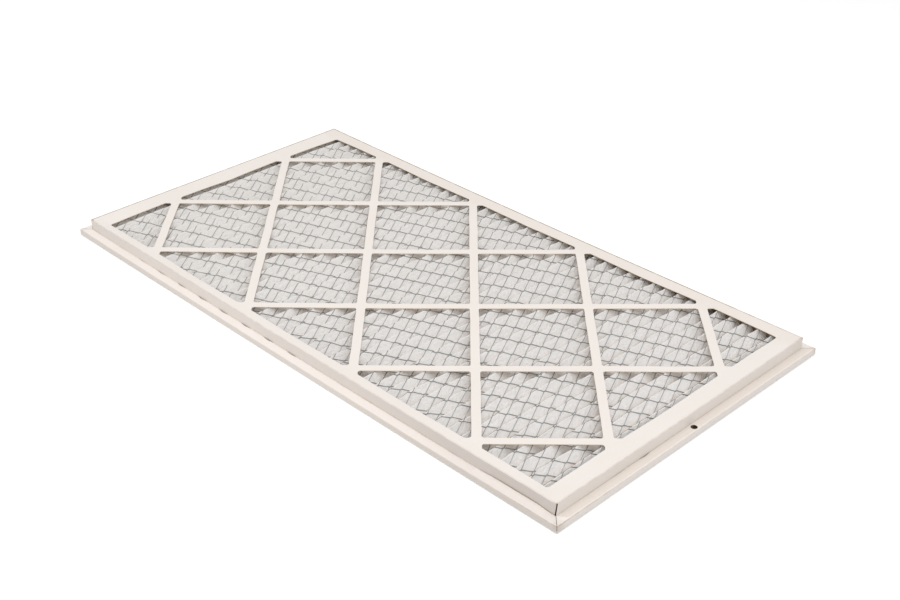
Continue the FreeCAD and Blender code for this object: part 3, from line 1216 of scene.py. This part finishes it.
def makeNet():
    offsets = strandOffsets()
    stations = strandStations()
    bm = bmesh.new()
    for turn in (-1, 1):
        for offset in offsets:
            addStrands(bm, turn, offset, stations)
    strandVerts = len(bm.verts)
    for falling in offsets:
        for rising in offsets:
            run, y = (falling - rising) / (2 * netSlope), (falling + rising) / 2
            along, across = laidOff(run)
            run, y = run + along, y + across
            if abs(run) < sheetRun / 2 and abs(y) < netLimit:
                addKnot(bm, run, y)
    bmesh.ops.recalc_face_normals(bm, faces=bm.faces)
    mesh = meshFrom(bm, "net_strands")
    pointValues(mesh, dust=lambda co: wireNet["dust"] * smoothStep(*wireNet["dustFrom"], co.x))
    bond = mesh.attributes.new("bond", "FLOAT", "POINT")
    bond.data.foreach_set("value", [float(k >= strandVerts) for k in range(len(mesh.vertices))])
    pieceFrom(mesh, "wireNet", "wire_net", [netWire])


makeNet()
print("wire net made")


# Floor, light and camera

stage = {
    "floorHalf": 6.0,
    "floorDrop": 0.0002,  # the floor lies this far below the filter
    "worldLevel": 0.645,
    "lampPower": 18.4,
    "lampSize": 2.2,
    "lampPlace": (0.35, -0.6, 1.9),
    "floorShade": 0.79,
    "floorGlow": 0.36,  # only for the camera and in a gloss, so that the floor looks white
    "lens": 54.556,
    "cameraPlace": (0.943378, -0.876901, 0.76004),
    "cameraTurn": (1.030373, 0.00226, 0.795216),
}


def makeFloor():
    mesh = bpy.data.meshes.new("floor")
    half, level = stage["floorHalf"], -stage["floorDrop"]
    corners = [(-half, -half, level), (half, -half, level), (half, half, level), (-half, half, level)]
    mesh.from_pydata(corners, [], [(0, 1, 2, 3)])
    floor = newObject("floor", mesh)
    material = bpy.data.materials.new("white floor")
    material.use_nodes = True
    tree = material.node_tree
    tree.nodes.clear()
    paper = setInputs(addNode(tree, "ShaderNodeBsdfDiffuse"), Color=(stage["floorShade"],) * 3 + (1,))
    glow = setInputs(addNode(tree, "ShaderNodeEmission"), Color=(1, 1, 1, 1), Strength=stage["floorGlow"])
    both = addNode(tree, "ShaderNodeAddShader")
    path = addNode(tree, "ShaderNodeLightPath")
    seen = mathNode(tree, "MAXIMUM", path.outputs["Is Camera Ray"], path.outputs["Is Glossy Ray"])
    tree.links.new(paper.outputs[0], both.inputs[0])
    tree.links.new(glow.outputs[0], both.inputs[1])
    white = mixShaders(tree, seen, paper.outputs[0], both.outputs[0])
    side = addNode(tree, "ShaderNodeNewGeometry")
    through = addNode(tree, "ShaderNodeBsdfTransparent")
    # from underneath, the floor doesn't hide the filter
    oneSided = mixShaders(tree, side.outputs["Backfacing"], white, through.outputs[0])
    output = addNode(tree, "ShaderNodeOutputMaterial")
    tree.links.new(oneSided, output.inputs["Surface"])
    mesh.materials.append(material)


def makeWorld():
    world = bpy.data.worlds.new("soft studio")
    bpy.context.scene.world = world
    world.use_nodes = True
    tree = world.node_tree
    path = addNode(tree, "ShaderNodeLightPath")
    seen = mathNode(tree, "MAXIMUM", path.outputs["Is Camera Ray"], path.outputs["Is Glossy Ray"])
    seen = mathNode(tree, "MAXIMUM", seen, path.outputs["Is Transmission Ray"])
    level = setInputs(addNode(tree, "ShaderNodeMix"), A=stage["worldLevel"], B=1.0)
    tree.links.new(seen, level.inputs["Factor"])
    background = tree.nodes["Background"]
    background.inputs["Color"].default_value = (1, 1, 1, 1)
    tree.links.new(level.outputs[0], background.inputs["Strength"])


def makeLamp(name, place, size, power):
    data = bpy.data.lights.new(name, "AREA")
    data.shape = "DISK"
    data.size = size
    data.energy = power
    lamp = newObject(name, data)
    lamp.location = place
    lamp.rotation_euler = (-Vector(place)).to_track_quat("-Z", "Y").to_euler()  # towards the origin


def makeCamera():
    data = bpy.data.cameras.new("camera")
    data.lens = stage["lens"]
    data.sensor_width = 36
    camera = newObject("camera", data)
    camera.location = stage["cameraPlace"]
    camera.rotation_euler = stage["cameraTurn"]
    bpy.context.scene.camera = camera


makeFloor()
makeWorld()
makeLamp("overhead lamp", stage["lampPlace"], stage["lampSize"], stage["lampPower"])
makeCamera()
bpy.context.scene.view_settings.view_transform = "Standard"
print("floor, light and camera ready")
